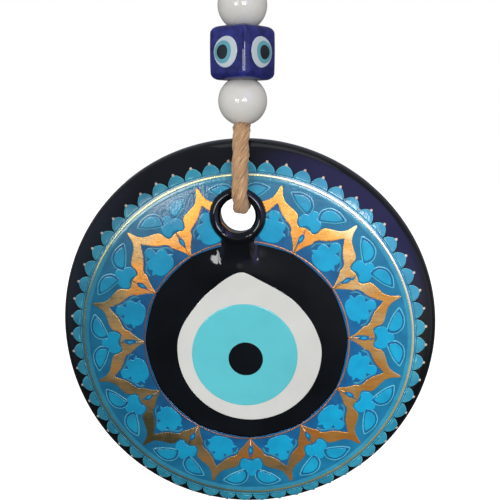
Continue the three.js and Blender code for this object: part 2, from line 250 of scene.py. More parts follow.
def add_world():
    """White where it is seen directly, an even room for matt surfaces, a darker one for polish."""
    world = bpy.data.worlds.new("studio")
    bpy.context.scene.world = world
    tree = Tree(world)
    tree.nodes.clear()
    direction = tree.node("ShaderNodeTexCoord").outputs["Generated"]
    up = tree.node("ShaderNodeSeparateXYZ", direction).outputs["Z"]
    height = tree.mapped(up, From_Min=-1)
    even = tree.ramp(height, [(0, (0.62, 0.61, 0.60)), (0.55, (0.78, 0.78, 0.78)), (1, (1, 1, 1))])
    room = tree.ramp(height, [(0, (0.04, 0.04, 0.04)), (0.35, (0.07, 0.07, 0.075)),
                              (0.5, (0.14, 0.14, 0.15)), (0.675, (0.22, 0.22, 0.28)),
                              (1, (0.25, 0.25, 0.27))])
    for azimuth, elevation, radius, color in GLOWS:
        near = tree.node("ShaderNodeVectorMath", direction, towards(azimuth, elevation),
                         operation="DOT_PRODUCT").outputs["Value"]
        fade = tree.node("ShaderNodeMapRange", near, From_Min=math.cos(math.radians(radius)))
        fade.interpolation_type = "SMOOTHSTEP"
        glow = tree.node("ShaderNodeVectorMath", color, operation="SCALE",
                         Scale=fade.outputs["Result"])
        room = tree.node("ShaderNodeVectorMath", glow.outputs[0], room).outputs[0]
    rooms = ((1, 1, 1, 1), 1), (even, ROOM_LIGHT), (room, 1)
    seen, lit, polished = (tree.node("ShaderNodeBackground", *values).outputs[0]
                           for values in rooms)
    path = tree.node("ShaderNodeLightPath").outputs
    by_gloss = tree.node("ShaderNodeMixShader", path["Is Glossy Ray"], lit, polished).outputs[0]
    by_camera = tree.node("ShaderNodeMixShader", path["Is Camera Ray"], by_gloss, seen).outputs[0]
    tree.node("ShaderNodeOutputWorld", by_camera)


def panel(name, azimuth, elevation, distance, width, height, radiance):
    """A soft area light at an angle to the right and up of the amulet, of a given brightness."""
    target = Vector((PRINT_X, FACE_Y, PRINT_Z + 0.02))
    data = bpy.data.lights.new(name, "AREA")
    data.shape = "RECTANGLE"
    data.size = width
    data.size_y = height
    data.energy = radiance * math.pi * width * height
    light = bpy.data.objects.new(name, data)
    bpy.context.collection.objects.link(light)
    light.location = target + distance * Vector(towards(azimuth, elevation))
    light.rotation_euler = (target - light.location).to_track_quat("-Z", "Y").to_euler()


def louvred_panel(name, azimuth, elevation, width, height, radiance):
    """A softbox divided by upright bars."""
    slat = width / SOFTBOX_SLATS
    for k in range(SOFTBOX_SLATS):
        offset = math.degrees((k - (SOFTBOX_SLATS - 1) / 2) * slat / SOFTBOX_DISTANCE)
        panel(f"{name}_{k + 1}", azimuth + offset, elevation, SOFTBOX_DISTANCE, slat * SLAT_FILL,
              height, radiance)


def add_studio():
    louvred_panel("left_softbox", -21, 5, width=0.21, height=0.17, radiance=11.0)
    louvred_panel("right_softbox", 14, 8, width=0.24, height=0.15, radiance=13.0)
    panel("overhead", 15, 62, distance=0.6, width=0.5, height=0.3, radiance=0.6)
    add_world()
    bpy.context.scene.view_settings.view_transform = "Standard"


# ---- Materials ----


class Shader(Tree):
    """A material: one Principled shader and small helpers to feed it."""

    def __init__(self, name, color, roughness=0.2, metallic=0.0):
        self.material = bpy.data.materials.new(name)
        super().__init__(self.material)
        self.principled = self.nodes["Principled BSDF"]
        self.coords = self.node("ShaderNodeTexCoord")
        self.set(Base_Color=(*color, 1), Roughness=roughness, Metallic=metallic)

    def set(self, **named):
        for name, value in named.items():
            self.feed(self.principled.inputs[name.replace("_", " ")], value)

    def noise(self, scale, detail=4.0, stretch=(1, 1, 1), space="Object"):
        place = self.node("ShaderNodeMapping", self.coords.outputs[space], Scale=stretch)
        return self.node("ShaderNodeTexNoise", place.outputs[0], Scale=scale,
                         Detail=detail).outputs["Fac"]

    def bump(self, source, strength, distance):
        """Adds bumps to those already there."""
        made = self.node("ShaderNodeBump", Strength=strength, Distance=distance, Height=source)
        normal = self.principled.inputs["Normal"]
        if normal.is_linked:
            self.feed(made.inputs["Normal"], normal.links[0].from_socket)
        self.feed(normal, made.outputs["Normal"])


def tint(color, factor):
    return tuple(min(1.0, c * factor) for c in color)


def glass_material(name, color, depth=0.12, roughness=0.05, subsurface=0.0, waviness=0.25,
                   cloud=90):
    """Opaque polished glass: a faint cloudiness inside and a slow handmade waviness outside."""
    shader = Shader(name, color, roughness)
    tones = [(0.3, tint(color, 1 - depth)), (0.7, tint(color, 1 + depth))]
    smears = shader.mapped(shader.noise(600, 2), To_Min=roughness * 0.7, To_Max=roughness * 1.5)
    shader.set(Base_Color=shader.ramp(shader.noise(cloud, 3), tones), Roughness=smears, IOR=1.5)
    shader.bump(shader.noise(60, 1), waviness, 0.0004)
    shader.bump(shader.noise(900, 2), 0.06, 0.0001)
    if subsurface:
        shader.set(Subsurface_Weight=subsurface, Subsurface_Radius=(1.0, 0.95, 0.9),
                   Subsurface_Scale=0.002)
    return shader.material


def print_material(name, color, deep, roughness=0.2):
    """Glossy printed ink: mottled, with a painted sheen that brightens it a little towards the
    right, and fine printed lines.
    """
    shader = Shader(name, color, roughness)
    mottle = shader.ramp(shader.noise(160, 5), [(0.35, deep), (0.62, color)])
    place = shader.node("ShaderNodeSeparateXYZ", shader.coords.outputs["Object"])
    # Painted sheen: the ink's colour is scaled from 0.72 at the left of the face to 1.32 at its
    # right.
    strength = shader.mapped(place.outputs["X"], From_Min=PRINT_X - 0.045,
                             From_Max=PRINT_X + 0.045, To_Min=0.72, To_Max=1.32)
    ink = shader.node("ShaderNodeVectorMath", mottle, operation="SCALE", Scale=strength)
    grain = shader.noise(2600, 2)
    shader.set(Base_Color=ink.outputs[0],
               Roughness=shader.mapped(grain, To_Min=roughness * 0.7, To_Max=roughness * 1.6))
    shader.bump(shader.noise(1900, 1, (1, 1, 0.3)), 0.30, 0.00012)
    shader.bump(grain, 0.15, 0.00006)
    shader.set(Coat_Normal=shader.principled.inputs["Normal"].links[0].from_socket,
               Specular_IOR_Level=0.3, Coat_Weight=0.7, Coat_Roughness=0.07, Coat_IOR=1.6)
    return shader.material


def gold_material(name, tones, painted_reflection_share):
    """Metallic foil, dark to pale tones: a painted reflection makes it brighter towards the upper
    right and darker towards the lower left, and it is worn in patches.
    """
    shader = Shader(name, tones[-1], 0.3, 0.76)
    # Painted reflection: a slant across the face from lower left to upper right, mixed with the
    # worn patches in the given share.
    right, up = 0.83, 0.55
    across = shader.node("ShaderNodeVectorMath", shader.coords.outputs["Object"], (right, 0, up),
                         operation="DOT_PRODUCT").outputs["Value"]
    centre = right * PRINT_X + up * PRINT_Z
    painted_reflection_slope = shader.mapped(across, From_Min=centre - 0.048, From_Max=centre + 0.054)
    patches = shader.mapped(shader.noise(85, 3), From_Min=0.28, From_Max=0.72)
    mix = shader.node("ShaderNodeMix", Factor=painted_reflection_share, A=patches, B=painted_reflection_slope)
    stops = [(k / (len(tones) - 1) * 0.8 + 0.1, color) for k, color in enumerate(tones)]
    drag = shader.noise(700, 3, (0.3, 1, 2.2))
    shader.set(Base_Color=shader.ramp(mix.outputs["Result"], stops),
               Roughness=shader.mapped(drag, To_Min=0.2, To_Max=0.36))
    shader.bump(drag, 0.03, 0.0001)
    shader.bump(shader.noise(110, 2), 0.12, 0.0008)
    return shader.material


def jute_material():
    """Coarse twisted bast fibre: streaks along the plies, partly the fibre's own tone and partly
    painted shade in their hollows and painted highlight on their ridges, woolly on top.
    """
    shader = Shader("jute", (0.5, 0.28, 0.12), 0.85)
    streaks = shader.noise(1.0, 6, (70, 2.2, 1), "UV")
    patches = shader.noise(1.0, 3, (5, 1.6, 1), "UV")
    # Painted shade and highlight: the darkest tone falls in the bump's hollows and the pale tones
    # on its ridges, over the fibre's own brown.
    fibre_tone_and_groove_shade = shader.ramp(streaks, [(0.33, (0.19, 0.085, 0.04)), (0.45, (0.53, 0.30, 0.15)),
                                  (0.58, (0.67, 0.42, 0.235)), (0.7, (0.90, 0.66, 0.46))])
    shade = shader.ramp(patches, [(0.3, (0.72, 0.66, 0.6)), (0.7, (1, 1, 1))])
    mix = shader.node("ShaderNodeMix")
    mix.data_type = "RGBA"
    mix.blend_type = "MULTIPLY"
    for name, value in (("Factor", 0.55), ("A", fibre_tone_and_groove_shade), ("B", shade)):
        shader.feed(mix.inputs[name], value)
    shader.set(Base_Color=mix.outputs["Result"],
               Roughness=shader.mapped(streaks, To_Min=0.75, To_Max=0.98),
               Sheen_Weight=0.25, Sheen_Roughness=0.5, Specular_IOR_Level=0.2)
    shader.bump(streaks, 0.85, 0.0005)
    return shader.material


DARK_GLASS = glass_material("dark_glass", (0.0035, 0.0050, 0.0075), 0.3, 0.035)
WHITE_GLASS = glass_material("white_glass", (0.70, 0.705, 0.68), 0.03, 0.08, 0.1, 0.1)
IRIS_GLASS = glass_material("iris_glass", (0.125, 0.585, 0.66), 0.05, 0.08, 0.08, 0.1)
BEAD_GLASS = glass_material("bead_glass", (0.68, 0.67, 0.64), 0.02, 0.05, 0.2, 0.12)
COBALT_GLASS = glass_material("cobalt_glass", (0.020, 0.024, 0.16), 0.45, 0.035, 0.0, 0.15, 330)
GROUND_INK = print_material("print_ground", (0.008, 0.175, 0.335), (0.005, 0.13, 0.27))
ARCH_INK = print_material("print_arch", (0.006, 0.12, 0.30), (0.004, 0.085, 0.23))
BAND_INK = print_material("print_band", (0.03, 0.27, 0.42), (0.02, 0.21, 0.34))
TEAL_INK = print_material("print_teal", (0.003, 0.345, 0.60), (0.003, 0.28, 0.51))
EDGE_INK = print_material("print_edge", (0.11, 0.50, 0.62), (0.06, 0.36, 0.50), 0.12)
LEAF_INK = print_material("print_leaf", (0.006, 0.35, 0.58), (0.004, 0.26, 0.46))
SCALLOP_INK = print_material("print_scallop", (0.03, 0.30, 0.44), (0.018, 0.21, 0.34))
# Along the slant the foils' dark tones are painted shade towards the lower left and their pale
# tones a painted reflection towards the upper right; the last number sets how much of the tone
# comes from that slant rather than from the worn patches.
GOLD = gold_material("gold_foil", [(0.15, 0.13, 0.06), (0.55, 0.36, 0.15), (0.95, 0.36, 0.06),
                                   (0.96, 0.48, 0.11), (1.0, 0.78, 0.42)], 0.64)
COPPER = gold_material("copper_foil", [(0.05, 0.07, 0.08), (0.40, 0.17, 0.07),
                                       (0.9, 0.42, 0.18)], 0.75)
PALE_GOLD = gold_material("pale_gold_foil", [(0.16, 0.26, 0.22), (0.60, 0.66, 0.34),
                                             (0.95, 0.97, 0.62)], 0.8)
JUTE = jute_material()
PEARL_INK = print_material("pearl_ink", (0.62, 0.50, 0.42), (0.42, 0.33, 0.28))
CUBE_IRIS_GLASS = glass_material("cube_iris_glass", (0.12, 0.36, 0.45), 0.08, 0.06)
CUBE_PUPIL_GLASS = glass_material("cube_pupil_glass", (0.014, 0.02, 0.024), 0.3, 0.05)
CUBE_WHITE_GLASS = glass_material("cube_white_glass", (0.53, 0.60, 0.66), 0.05, 0.06)


# ---- Mesh helpers ----


def make_piece(name, points, faces, material, body, replaced=(), uvs=None):
    """A mesh object from points in metres, riding on a body and standing for CAD nodes."""
    mesh = bpy.data.meshes.new(name)
    mesh.from_pydata([tuple(p) for p in points], [], [tuple(f) for f in faces])
    mesh.materials.append(material)
    mesh.polygons.foreach_set("use_smooth", [True] * len(mesh.polygons))
    if uvs is not None:
        mesh.uv_layers.new(name="along").data.foreach_set("uv", np.asarray(uvs).reshape(-1))
    mesh.update()
    piece = bpy.data.objects.new(name, mesh)
    bpy.context.collection.objects.link(piece)
    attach(piece, body)
    if replaced:
        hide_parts(*replaced)
    return piece


def grid_faces(rows, around, wrap_rows=False, flip=False):
    """Quads between rings of points laid out row by row."""
    faces = []
    for i in range(rows if wrap_rows else rows - 1):
        for j in range(around):
            a = i * around + j
            b = i * around + (j + 1) % around
            c = ((i + 1) % rows) * around + (j + 1) % around
            d = ((i + 1) % rows) * around + j
            faces.append((a, d, c, b) if flip else (a, b, c, d))
    return faces


def fan_faces(tip, first, around, flip=False):
    """Triangles from one point to a ring of them."""
    sides = [(first + j, first + (j + 1) % around) for j in range(around)]
    return [(tip, b, a) if flip else (tip, a, b) for a, b in sides]


def spline(points, per_span=8, closed=False):
    """Catmull-Rom points through the given ones."""
    p = np.asarray(points, dtype=float)
    n = len(p)
    if closed:
        before, after, last = np.roll(p, 1, 0), np.roll(p, -1, 0), np.roll(p, -2, 0)
        spans = n
    else:
        ends = np.vstack([2 * p[0] - p[1], p, 2 * p[-1] - p[-2]])
        before, p, after, last = ends[:n - 1], ends[1:n], ends[2:n + 1], ends[3:n + 2]
        spans = n - 1
    t = (np.arange(per_span) / per_span)[None, :, None]
    a, b, c, d = (v[:spans, None, :] for v in (before, p, after, last))
    curve = 0.5 * (2 * b + (c - a) * t + (2 * a - 5 * b + 4 * c - d) * t ** 2
                   + (3 * b - a - 3 * c + d) * t ** 3)
    curve = curve.reshape(-1, curve.shape[-1])
    return curve if closed else np.vstack([curve, np.asarray(points, dtype=float)[-1]])


def inset(loop, distance):
    """A closed counter-clockwise loop moved inwards."""
    step = np.roll(loop, -1, 0) - np.roll(loop, 1, 0)
    length = np.maximum(np.hypot(step[:, 0], step[:, 1]), 1e-9)
    normal = np.column_stack([-step[:, 1], step[:, 0]]) / length[:, None]
    return loop + normal * distance


def area(loop):
    """The area of a loop, positive when it runs anticlockwise."""
    x, z = loop[:, 0], loop[:, 1]
    return 0.5 * np.sum(x * np.roll(z, -1) - z * np.roll(x, -1))


def inside(loop, points):
    """Even-odd test of points against a closed loop."""
    x, z = points[:, 0][:, None], points[:, 1][:, None]
    x0, z0 = loop[:, 0][None], loop[:, 1][None]
    x1, z1 = np.roll(loop[:, 0], -1)[None], np.roll(loop[:, 1], -1)[None]
    crosses = (z0 > z) != (z1 > z)
    with np.errstate(divide="ignore", invalid="ignore"):
        reach = (x1 - x0) * (z - z0) / (z1 - z0) + x0
    return (np.sum(crosses & (x < reach), axis=1) % 2) == 1


def anticlockwise(loop):
    return loop if area(loop) > 0 else loop[::-1]


TUCK = 0.6


def clear_of_hole(loop):
    """Draws a motif back to where the collar hides its edge, or drops it if it lies in the hole."""
    away = loop - (HOLE_X, HOLE_Z)
    hidden = COLLAR_MID_R + TUCK
    covered = np.hypot(away[:, 0], away[:, 1]) < hidden
    if covered.any():
        centre = loop.mean(0)
        if np.hypot(centre[0] - HOLE_X, centre[1] - HOLE_Z) < hidden - 1:
            return None
        side = 1 if centre[0] > HOLE_X else -1
        half = np.sqrt(np.clip(hidden ** 2 - away[:, 1] ** 2, 0, None))
        loop = loop.copy()
        loop[covered, 0] = HOLE_X + side * half[covered]
    return anticlockwise(loop)


class Relief:
    """Raised print: flat-topped shapes with softly rounded edges that follow the face."""

    def __init__(self, pitch=1.1):
        self.points = []
        self.faces = []
        self.pitch = pitch

    def add(self, loop, base, height, bevel=0.1):
        loop = clear_of_hole(np.asarray(loop, dtype=float))
        if loop is None:
            return
        rings = [(0, 0), (0.3, 0.75), (1, 1), (2, 1)]
        start = len(self.points)
        n = len(loop)
        for part, level in rings:
            ring = inset(loop, bevel * part)
            self.points.extend(on_face(ring, base + height * level))
        for i in range(len(rings) - 1):
            for j in range(n):
                a = start + i * n + j
                b = start + i * n + (j + 1) % n
                self.faces.append((a, b, b + n, a + n))
        self.cap(ring, start + (len(rings) - 1) * n, base + height)

    def cap(self, ring, offset, lift):
        """Fills the top with triangles, on extra points inside so that it follows the face."""
        n = len(ring)
        low, high = ring.min(0), ring.max(0)
        x, z = np.meshgrid(*(np.arange(low[k], high[k], self.pitch) for k in (0, 1)))
        spots = np.column_stack([x.ravel(), z.ravel()])
        spots = spots[inside(ring, spots)]
        if len(spots):
            gap = np.linalg.norm(spots[:, None] - ring[None], axis=2).min(1)
            spots = spots[gap > 0.45 * self.pitch]
        self.points.extend(on_face(spots, lift))
        edges = [(i, (i + 1) % n) for i in range(n)]
        corners_2d = [Vector(p) for p in np.vstack([ring, spots])]
        made = delaunay_2d_cdt(corners_2d, edges, [], 0, 1e-6, True)
        points, triangles, origins = np.array([tuple(p) for p in made[0]]), made[2], made[3]
        index = [offset + origin[0] if origin else -1 for origin in origins]
        centres = np.array([points[list(t)].mean(0) for t in triangles])
        for triangle, kept in zip(triangles, inside(ring, centres)):
            corners = [index[k] for k in triangle]
            if kept and min(corners) >= 0 and len(set(corners)) == 3:
                self.faces.append(corners)

    def piece(self, name, material, replaced=(), slot="print_teal"):
        return make_piece(name, self.points, self.faces, material, "amulet", replaced)


# ---- Rope ----

ROPE_R = 2.7
SQUEEZED_R = 1.95
LOOP_END_R = 2.1
KNOT_R = 2.45
TWIST_PITCH = 26.0


def route_frames(route, step):
    """Even steps along a route in millimetres, each with two unit vectors across it."""
    dense = spline(route, 12)
    run = np.concatenate([[0], np.cumsum(np.linalg.norm(np.diff(dense, axis=0), axis=1))])
    count = int(run[-1] / step) + 1
    at = np.linspace(0, run[-1], count)
    points = np.column_stack([np.interp(at, run, dense[:, k]) for k in range(3)])
    along = np.gradient(points, axis=0)
    along /= np.linalg.norm(along, axis=1)[:, None]
    side = np.cross(along[0], (1.0, 0.0, 0.0))
    if np.linalg.norm(side) < 0.1:
        side = np.cross(along[0], (0.0, 1.0, 0.0))
    sides = []
    for direction in along:
        side = side - direction * np.dot(side, direction)
        side = side / np.linalg.norm(side)
        sides.append(side)
    sides = np.array(sides)
    return points, at, sides, np.cross(along, sides)


def rope_piece(name, route, radius_of, seed, replaced=(), around=42, step=0.45, flatness_of=None):
    """Three twisted plies of jute along a route given in millimetres."""
    points, at, side, up = route_frames(route, step)
    rng = np.random.default_rng(seed)
    phi = turns(around)
    turn = 2 * np.pi * at / TWIST_PITCH
    ply = phi[None, :] - turn[:, None]
    nearest = (ply + np.pi / 3) % (2 * np.pi / 3) - np.pi / 3
    lobe, offset = 0.68, 0.32
    shape = offset * np.cos(nearest) + np.sqrt(lobe ** 2 - (offset * np.sin(nearest)) ** 2)
    fuzz = np.zeros_like(ply)
    for k in (4, 7, 9, 11, 13, 16, 19):
        drift = rng.uniform(-1.1, 1.1)
        fuzz += np.sin(k * ply + drift * at[:, None] + rng.uniform(0, 6.28)) * 0.015
    slow = 0.03 * np.sin(at / 5.3 + seed) + 0.02 * np.sin(at / 2.1 + 2 * seed)
    radius = radius_of(points)[:, None] * (shape + fuzz + slow[:, None])
    across = (np.cos(phi)[None, :, None] * side[:, None, :]
              + np.sin(phi)[None, :, None] * up[:, None, :])
    skin = points[:, None, :] + radius[..., None] * across
    if flatness_of:
        middle_y = points[:, None, 1]
        skin[..., 1] = middle_y + (skin[..., 1] - middle_y) * flatness_of(points)[:, None]
    rows = len(points)
    vertices = np.vstack([skin.reshape(-1, 3), points[:1], points[-1:]]) * MM
    faces = grid_faces(rows, around)
    faces += fan_faces(rows * around, 0, around, flip=True)
    faces += fan_faces(rows * around + 1, (rows - 1) * around, around)
    uvs = []
    for i in range(rows - 1):
        for j in range(around):
            for di, dj in ((0, 0), (0, 1), (1, 1), (1, 0)):
                u = (j + dj) / around - turn[i + di] / (2 * np.pi)
                uvs.append((u, at[i + di] / 10))
    uvs.extend([(0.5, 0.5)] * (6 * around))
    piece = make_piece(name, vertices, faces, JUTE, "hanger", replaced, uvs=uvs)
    return piece, (points, side, up, radius)


def fibre_piece(name, strands, keep, count, seed):
    """Loose jute hairs that stand off the rope."""
    rng = np.random.default_rng(seed)
    vertices, faces = [], []
    made = 0
    while made < count:
        points, side, up, radius = strands[rng.integers(len(strands))]
        i = int(rng.integers(4, len(points) - 4))
        if not keep(points[i]):
            continue
        made += 1
        phi = rng.uniform(0, 2 * np.pi)
        out = np.cos(phi) * side[i] + np.sin(phi) * up[i]
        along = points[i + 1] - points[i - 1]
        along /= np.linalg.norm(along) * (1 if rng.random() < 0.5 else -1)
        around = np.cross(along, out) * rng.uniform(-0.8, 0.8)
        start = points[i] + out * (radius[i].min() - 0.1)
        reach = rng.uniform(1.5, 5.5)
        lift = rng.uniform(0.35, 1.5)
        thick = rng.uniform(0.035, 0.075)
        base = len(vertices)
        for t in np.linspace(0, 1, 7):
            bend = (start + along * reach * t + out * lift * (t * 1.6 - t * t * 0.7)
                    + around * reach * 0.4 * t * t)
            for k in range(3):
                a = k * 2 * np.pi / 3
                width = thick * (1 - 0.8 * t)
                spoke = np.cos(a) * out + np.sin(a) * np.cross(along, out)
                vertices.append((bend + width * spoke) * MM)
        skin = grid_faces(7, 3)
        faces.extend(tuple(base + corner for corner in face) for face in skin)
        faces.append((base, base + 2, base + 1))
        faces.append((base + 18, base + 19, base + 20))
    return make_piece(name, vertices, faces, JUTE, "hanger", ())


def sling_route():
    """Down through the beads, in at the front of the hole, out behind it and up again."""
    drop = PRINT_Z / MM
    route = [(0, -SQUEEZED_R, z) for z in (-47.0, -55.0, -66.0, -78.0, -88.0)]
    for y, height in ((-1.7, 76.5), (-1.5, 73.0), (-2.0, 71.6), (-3.2, 70.2), (-4.7, 68.4),
                      (-6.8, 65.2), (-8.9, 61.3), (-10.8, 57.2)):
        route.append((0, y, height + drop))
    for i in range(5):
        a = i * math.pi / 8
        route.append((0, -6.45 - 5.6 * math.cos(a), 51.2 - 5.6 * math.sin(a) + drop))
    for i in range(5):
        a = i * math.pi / 8
        route.append((0, 5.6 + 5.6 * math.sin(a), 51.2 - 5.6 * math.cos(a) + drop))
    for x, y, height in ((-0.6, 11.1, 56.0), (-1.2, 11.2, 60.5), (-1.5, 10.8, 65.0),
                         (-1.5, 9.0, 68.7), (-1.1, 5.6, 70.1), (-0.6, 3.1, 70.7),
                         (-0.2, 1.7, 72.0), (0, 1.5, 73.8), (0, 1.7, 76.5)):
        route.append((x, y, height + drop))
    route.extend((0, SQUEEZED_R, z) for z in (-88.0, -78.0, -66.0, -55.0, -47.0))
    return route


def loop_route():
    """From the knot up round the nail and back."""
    side = [(1.95, -47.0), (2.2, -43.0), (2.95, -40.1), (4.2, -35.6), (7.4, -28.1), (10.2, -20.1)]
    route = [(-x, 0, z) for x, z in side]
    for i in range(9):
        a = math.pi - i * math.pi / 8
        route.append((11.5 * math.cos(a), 0, -8.8 + 11.5 * math.sin(a)))
    route.extend((x, 0, z) for x, z in reversed(side))
    return route


def knot_route():
    """Almost two slanting turns, with both ends tucked into the middle."""
    low, high = -51.5, -43.6
    rounds = 1.7
    route = []
    for t in np.linspace(0, 1, 44):
        a = 2 * np.pi * rounds * t - 0.6
        tuck = min(t, 1 - t) / 0.13
        r = 5.15 * smooth_step(tuck) + 0.9 * (1 - smooth_step(tuck))
        z = low + (high - low) * t + 1.1 * np.sin(a) * smooth_step(tuck)
        route.append((r * np.cos(a), r * np.sin(a), z))
    return route


def add_rope():
    mouth = PRINT_Z / MM + 72.2

    def sling_radius(points):
        return ROPE_R + (SQUEEZED_R - ROPE_R) * smooth_step((points[:, 2] - mouth) / 4.5)

    def sling_flatness(points):
        return 1 - 0.42 * np.exp(-((points[:, 2] - mouth) / 2.2) ** 2)

    def loop_radius(points):
        return LOOP_END_R + (ROPE_R - LOOP_END_R) * smooth_step((points[:, 2] + 46) / 8)

    def knot_radius(points):
        return np.full(len(points), KNOT_R)

    def in_the_open(point):
        return point[2] > -45 or (-121 < point[2] < -98.5 and abs(point[1]) < 13)

    sling, sling_strand = rope_piece("rope_sling", sling_route(), sling_radius, 3,
                                     ("cord_sling", "cord_core"), flatness_of=sling_flatness)
    loop, loop_strand = rope_piece("rope_loop", loop_route(), loop_radius, 5, ("hanging_loop",))
    knot, _ = rope_piece("rope_knot", knot_route(), knot_radius, 8, ("knot",), step=0.35)
    fibres = fibre_piece("rope_fibres", [sling_strand, loop_strand], in_the_open, 230, 11)


# ---- Glass body ----

COLLAR_FOOT_R = 10.4
FACE_R = 54
RIM_START_R = 58.4


def add_glass_body():
    """One closed skin of rings, from the bore over the collar, face and rim to the back."""
    around = 320
    angles = turns(around)
    hole, print_middle, rim = (HOLE_X, HOLE_Z), (0.0, 0.0), (RIM_X, RIM_Z)
    rings = []

    def ring(centre, radius, depth=None):
        x = centre[0] + radius * np.sin(angles)
        z = centre[1] + radius * np.cos(angles)
        rings.append((x, glass_depth(x, z) if depth is None else np.full(around, depth), z))

    def span(centre_a, radius_a, centre_b, radius_b, steps, depth=None):
        for t in steps:
            centre = [a + (b - a) * t for a, b in zip(centre_a, centre_b)]
            ring(centre, radius_a + (radius_b - radius_a) * t, depth)

    lip_r = COLLAR_MID_R - COLLAR_HALF_W
    edge = rim_radius(np.pi / 2 - angles)
    span(hole, lip_r + 0.02, hole, COLLAR_FOOT_R, 1 - np.cos(np.linspace(0, np.pi / 2, 30)[1:]))
    span(hole, COLLAR_FOOT_R, print_middle, FACE_R, np.linspace(0, 1, 62)[1:])
    span(print_middle, FACE_R, print_middle, RIM_START_R, np.linspace(0, 1, 22)[1:])
    span(print_middle, RIM_START_R, rim, edge, np.sin(np.linspace(0, np.pi / 2, 34)[1:-1]))
    for a in np.linspace(0, np.pi / 2, 14):
        ring(rim, edge - BACK_ROUND * (1 - math.cos(a)), WIDEST + BACK_ROUND * math.sin(a))
    span(rim, edge - BACK_ROUND, hole, BORE_R + COUNTERSINK, np.linspace(0, 1, 26)[1:], GLASS_T)
    for a in np.linspace(0, np.pi / 2, 9)[1:]:
        ring(hole, BORE_R + COUNTERSINK * (1 - math.sin(a)),
             GLASS_T - COUNTERSINK * (1 - math.cos(a)))
    bore_low, bore_high = GLASS_T - COUNTERSINK, 0.3
    for t in np.linspace(0, 1, 10)[1:]:
        ring(hole, BORE_R + (lip_r - BORE_R) * t, bore_low + (bore_high - bore_low) * t)
    points = np.vstack([to_world(x, y, z) for x, y, z in rings])
    faces = grid_faces(len(rings), around, wrap_rows=True)
    make_piece("amulet_glass", points, faces, DARK_GLASS, "amulet", ("glass_body",))


# ---- Print ----


def field_edge(degrees):
    """Radius where the print gives way to the bare glass round the eye."""
    return FIELD_R + FIELD_Z * np.cos(np.radians(degrees))


RING_DEGREES = np.arange(720) / 2


def add_print_ground():
    """The film under the print, left open where the collar stands."""
    inner = field_edge(RING_DEGREES)
    points = []
    steps = np.concatenate([[0.0, 0.004], np.linspace(0.02, 0.86, 30), np.linspace(0.87, 1, 14)])
    for k, t in enumerate(steps):
        p = polar(inner + (PRINT_OUTER_R - inner) * t, RING_DEGREES)
        points.append(on_face(p, 0.04 if 0 < k < len(steps) - 1 else -0.05))
    points = np.vstack(points)
    x = (points[:, 0] - PRINT_X) / MM - HOLE_X
    z = (points[:, 2] - PRINT_Z) / MM - HOLE_Z
    bare = np.hypot(x, z) < COLLAR_MID_R
    grid = grid_faces(len(steps), len(RING_DEGREES))
    faces = [face for face in grid if not bare[list(face)].any()]
    make_piece("print_ground", points, faces, GROUND_INK, "amulet", ("print_film",))


def add_ring(name, low, high, base, height, material, replaced=(), domed=False):
    """A ring of print, flat or domed, between two radii that may vary with the angle."""
    rings = [(0.0, -0.06), (0.06, 0.7), (0.16, 1.0), (0.5, 1.0), (0.84, 1.0), (0.94, 0.7),
             (1.0, -0.06)]
    if domed:
        rings = [(t, 1 - (2 * t - 1) ** 2 - 0.06) for t in np.linspace(0, 1, 13)]
    points = [on_face(polar(low + (high - low) * t, RING_DEGREES), base + height * level)
              for t, level in rings]
    faces = grid_faces(len(rings), len(RING_DEGREES))
    make_piece(name, np.vstack(points), faces, material, "amulet", replaced)


def mirrored(points):
    """A motif's half outline, from its axis to its axis, closed by its mirror image."""
    half = spline(points, 6)
    return np.vstack([half, (half * (-1, 1))[-2:0:-1]])


def placed(outline, middle, fit=True):
    """An outline of (degrees from the motif's axis, radius) set on the face at an angle."""
    outline = np.asarray(outline)
    degrees, r = outline[:, 0] + middle, outline[:, 1]
    if fit:
        weight = np.clip((44 - r) / (44 - FIELD_R), 0, 1)
        r = r + FIELD_Z * np.cos(np.radians(degrees)) * weight
    return polar(r, degrees)


# Half outlines and outlines of the motifs: degrees from the motif's axis, radius.
RIBBON_OUTER = [(0, 53.8), (0.5, 53.2), (0.9, 51.9), (1.5, 50.4), (2.7, 49.0), (4.4, 48.1),
                (6.6, 47.3), (8.4, 46.6), (9.5, 45.6), (9.9, 44.2), (10.6, 43.2), (11.6, 42.8),
                (12.8, 43.0), (14.0, 43.2), (15, 43.3)]
RIBBON_INNER = [(0, 47.8), (1.1, 46.6), (3.0, 44.6), (5.2, 43.2), (7.6, 42.2), (8.9, 41.2),
                (9.3, 40.0), (10.8, 38.7), (12.2, 37.4), (13.4, 36.2), (14.2, 35.3), (14.6, 34.9)]
PALMETTE = [(0, 45.4), (1.3, 45.1), (2.2, 44.1), (2.3, 43.0), (2.0, 42.3), (3.2, 42.4),
            (4.6, 42.3), (5.8, 41.5), (6.2, 40.5), (5.7, 39.5), (7.4, 38.8), (7.7, 38.3),
            (6.2, 37.9), (6.0, 37.2), (4.8, 36.1), (2.8, 35.5), (0, 35.3)]
TREFOIL = [(0, 49.8), (1.1, 49.5), (1.8, 48.7), (1.7, 47.8), (2.6, 47.6), (3.9, 47.3), (4.7, 46.4),
           (4.9, 45.2), (4.4, 43.9), (3.3, 43.1), (2.2, 43.2), (1.2, 43.8), (0, 44.0)]
LEAF = [(1.7, 49.4), (2.1, 51.1), (4.0, 52.8), (6.8, 53.3), (9.1, 52.9), (10.8, 52.2), (9.6, 50.7),
        (8.2, 49.6), (5.9, 48.4), (3.5, 47.5), (2.4, 47.4)]
WINDOW = [(0, 41.6), (1.1, 40.6), (1.2, 39.4), (0.4, 38.2), (0, 37.6)]
SEED = [(0, 40.8), (0.55, 40.2), (0.6, 39.4), (0, 38.6)]
